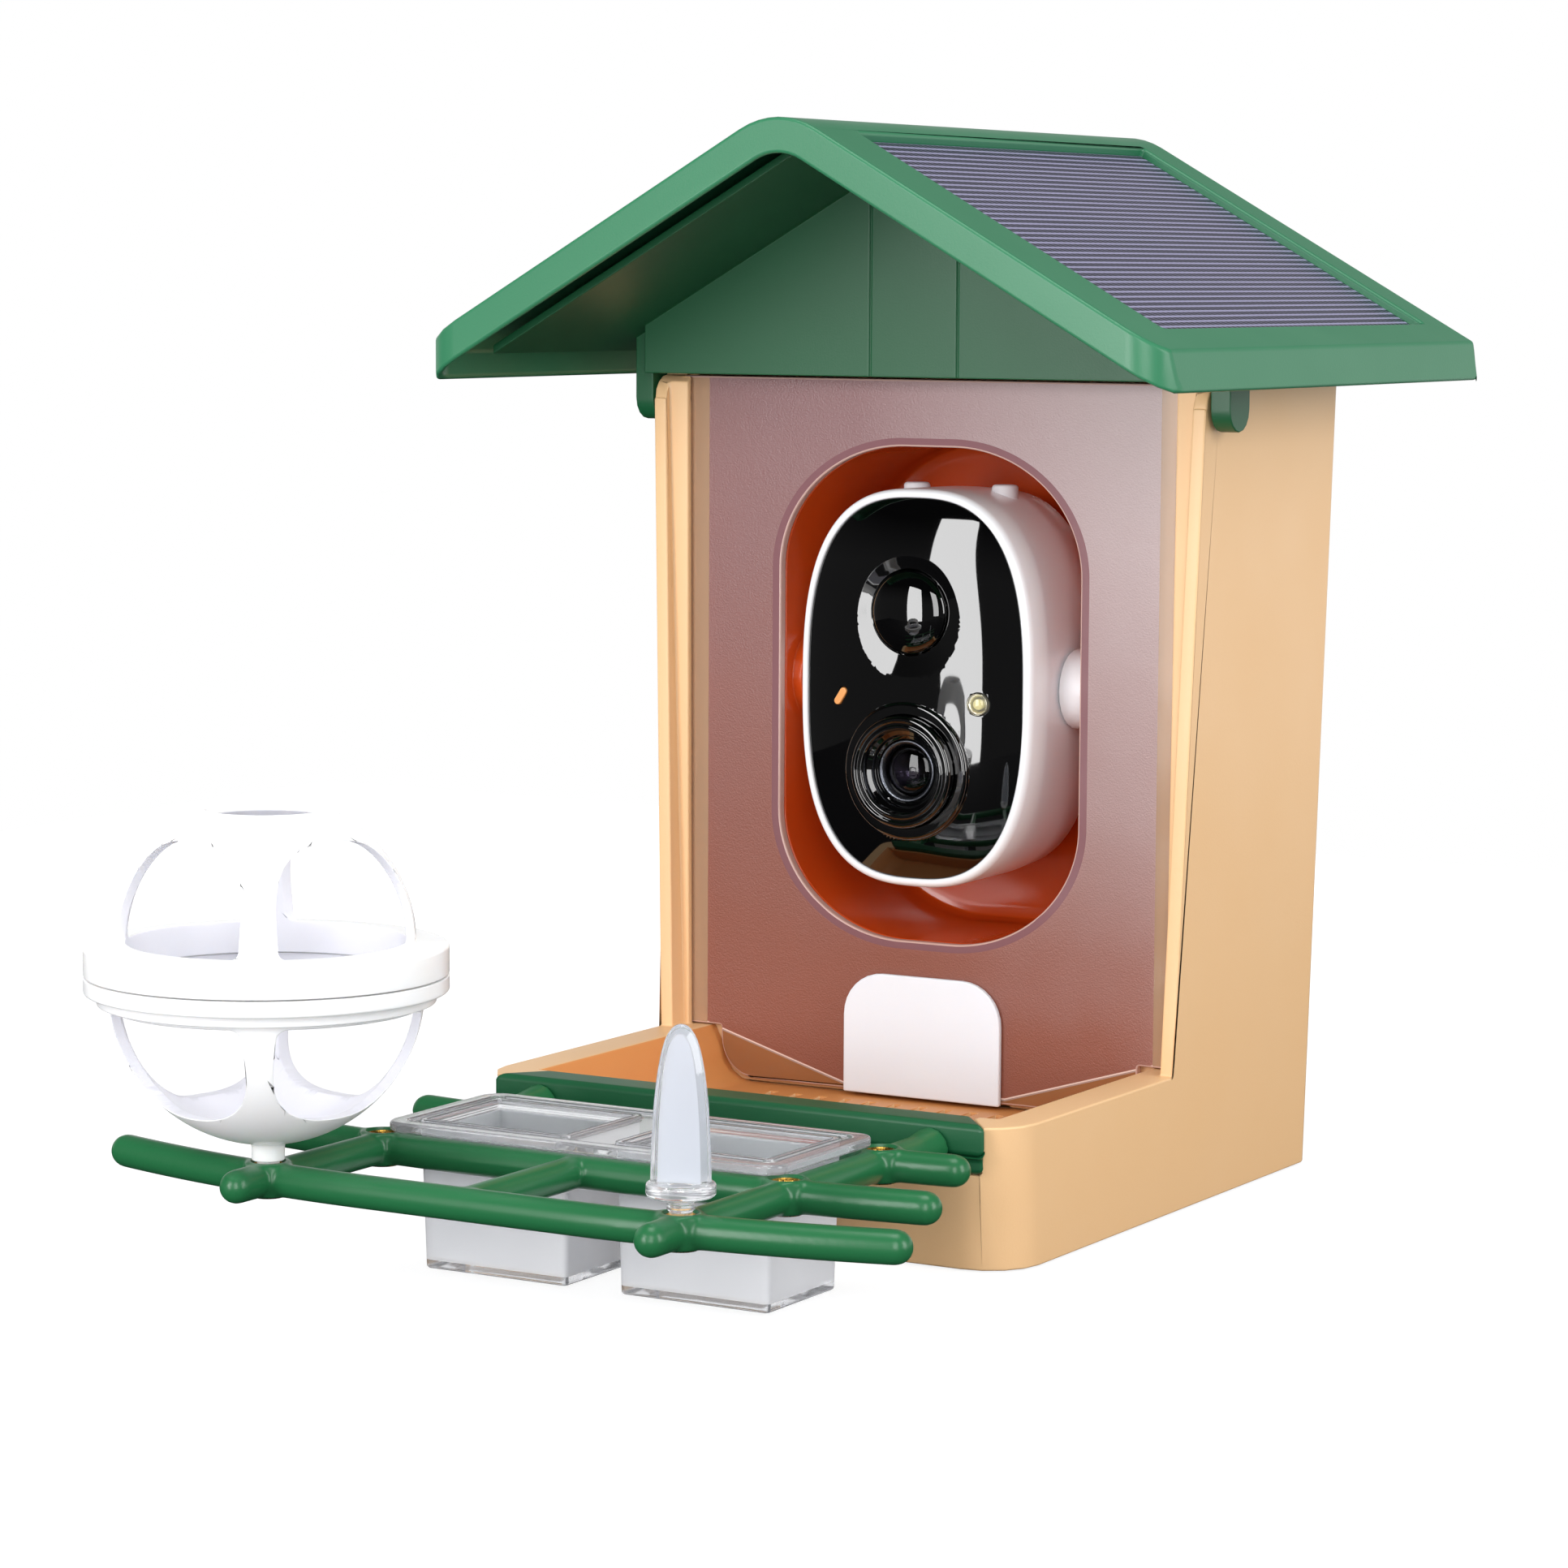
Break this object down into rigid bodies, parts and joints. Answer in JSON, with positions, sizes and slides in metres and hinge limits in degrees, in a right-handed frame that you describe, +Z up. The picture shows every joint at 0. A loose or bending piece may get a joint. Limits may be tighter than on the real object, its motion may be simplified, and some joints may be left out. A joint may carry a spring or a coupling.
{
  "type": "smart bird feeder",
  "caption": "House-shaped bird feeder with a camera bay behind a frosted front, hinged solar roof, seed tray, perch frame, twin cup, ball cage and fruit spike.",
  "frame": {"origin": "centre of the flat pad under the base, in the plane that the house stands on", "axes": "+Z up, -Y out of the front of the house over the tray and the perch, +X to the right seen from the front"},
  "size_m": [0.1982, 0.3411, 0.2521],
  "materials": {
    "sand_plastic": "satin moulded",
    "green_plastic": "satin moulded",
    "bay_plastic": "gloss moulded",
    "frosted_panel": "frosted",
    "clear_plastic": "clear moulded",
    "white_plastic": "gloss moulded",
    "black_gloss": "polished",
    "lens_glass": "coated",
    "amber_window": "gloss",
    "solar_cells": "laminated",
    "board": "solder mask",
    "cell_sleeve": "shrink sleeve",
    "soft_rubber": "matt",
    "steel": "zinc plated",
    "brass": "turned"
  },
  "bodies": {
    "root": {"house_shell": "sand_plastic", "seed_chute": "sand_plastic", "rear_bracket": "sand_plastic", "bracket_screw_left": "steel", "bracket_screw_right": "steel", "front_panel": "frosted_panel", "camera_bay": "bay_plastic", "bay_screw_lower": "steel", "bay_screw_upper": "steel", "front_bar": "green_plastic", "bar_screw_left": "steel", "bar_screw_right": "steel", "perch_frame": "green_plastic", "insert_front_left": "brass", "insert_front_right": "brass", "insert_middle_left": "brass", "insert_middle_right": "brass", "insert_rear_left": "brass", "insert_rear_right": "brass"},
    "gate": {"seed_gate": "white_plastic", "gate_clip": "white_plastic"},
    "camera": {"camera_case": "white_plastic", "camera_back_cover": "white_plastic", "camera_face": "black_gloss", "motion_lens": "black_gloss", "motion_sensor": "steel", "lens_barrel": "black_gloss", "lens_ring": "steel", "lens_glass": "lens_glass", "lamp_lens": "clear_plastic", "light_window": "amber_window", "circuit_board": "board", "battery_left": "cell_sleeve", "battery_right": "cell_sleeve", "port_cover": "soft_rubber", "tilt_pivot_left": "white_plastic", "tilt_pivot_right": "white_plastic"},
    "button_power": {"power_button": "soft_rubber"},
    "button_pairing": {"pairing_button": "soft_rubber"},
    "roof": {"roof_shell": "green_plastic", "roof_base": "green_plastic", "solar_panel": "solar_cells", "junction_box": "black_gloss", "hinge_pin_left": "steel", "hinge_pin_right": "steel", "roof_screw_front": "steel", "roof_screw_rear": "steel"},
    "cage": {"ball_lower": "white_plastic"},
    "cage_lid": {"ball_upper": "white_plastic"},
    "spike": {"fruit_spike": "clear_plastic"},
    "cups": {"twin_cup": "clear_plastic"}
  },
  "joints": [
    {"name": "roof_hinge", "type": "hinge", "parent": "root", "child": "roof", "pos_m": [0, 0.004, 0.187], "axis": [1, 0, 0], "range_deg": [0, 80]},
    {"name": "camera_tilt", "type": "hinge", "parent": "root", "child": "camera", "pos_m": [0, 0.0188, 0.1194], "axis": [1, 0, 0], "range_deg": [-8, 8]},
    {"name": "gate_slide", "type": "slide", "parent": "root", "child": "gate", "axis": [0, 0, 1], "range_m": [0, 0.012]},
    {"name": "power_press", "type": "slide", "parent": "camera", "child": "button_power", "axis": [0, 0, -1], "range_m": [0, 0.001], "stiffness_N_per_m": 300, "springref_m": -0.001},
    {"name": "pairing_press", "type": "slide", "parent": "camera", "child": "button_pairing", "axis": [0, 0, -1], "range_m": [0, 0.001], "stiffness_N_per_m": 300, "springref_m": -0.001},
    {"name": "cage_turn", "type": "hinge", "parent": "root", "child": "cage", "pos_m": [-0.051, -0.19193, 0.031], "axis": [0, 0, 1], "continuous": true},
    {"name": "lid_lift", "type": "slide", "parent": "cage", "child": "cage_lid", "axis": [0, 0, 1], "range_m": [0, 0.05]},
    {"name": "spike_turn", "type": "hinge", "parent": "root", "child": "spike", "pos_m": [0.051, -0.19193, 0.031], "axis": [0, 0, 1], "continuous": true},
    {"name": "cups_lift", "type": "slide", "parent": "root", "child": "cups", "axis": [0, 0, 1], "range_m": [0, 0.07]}
  ]
}
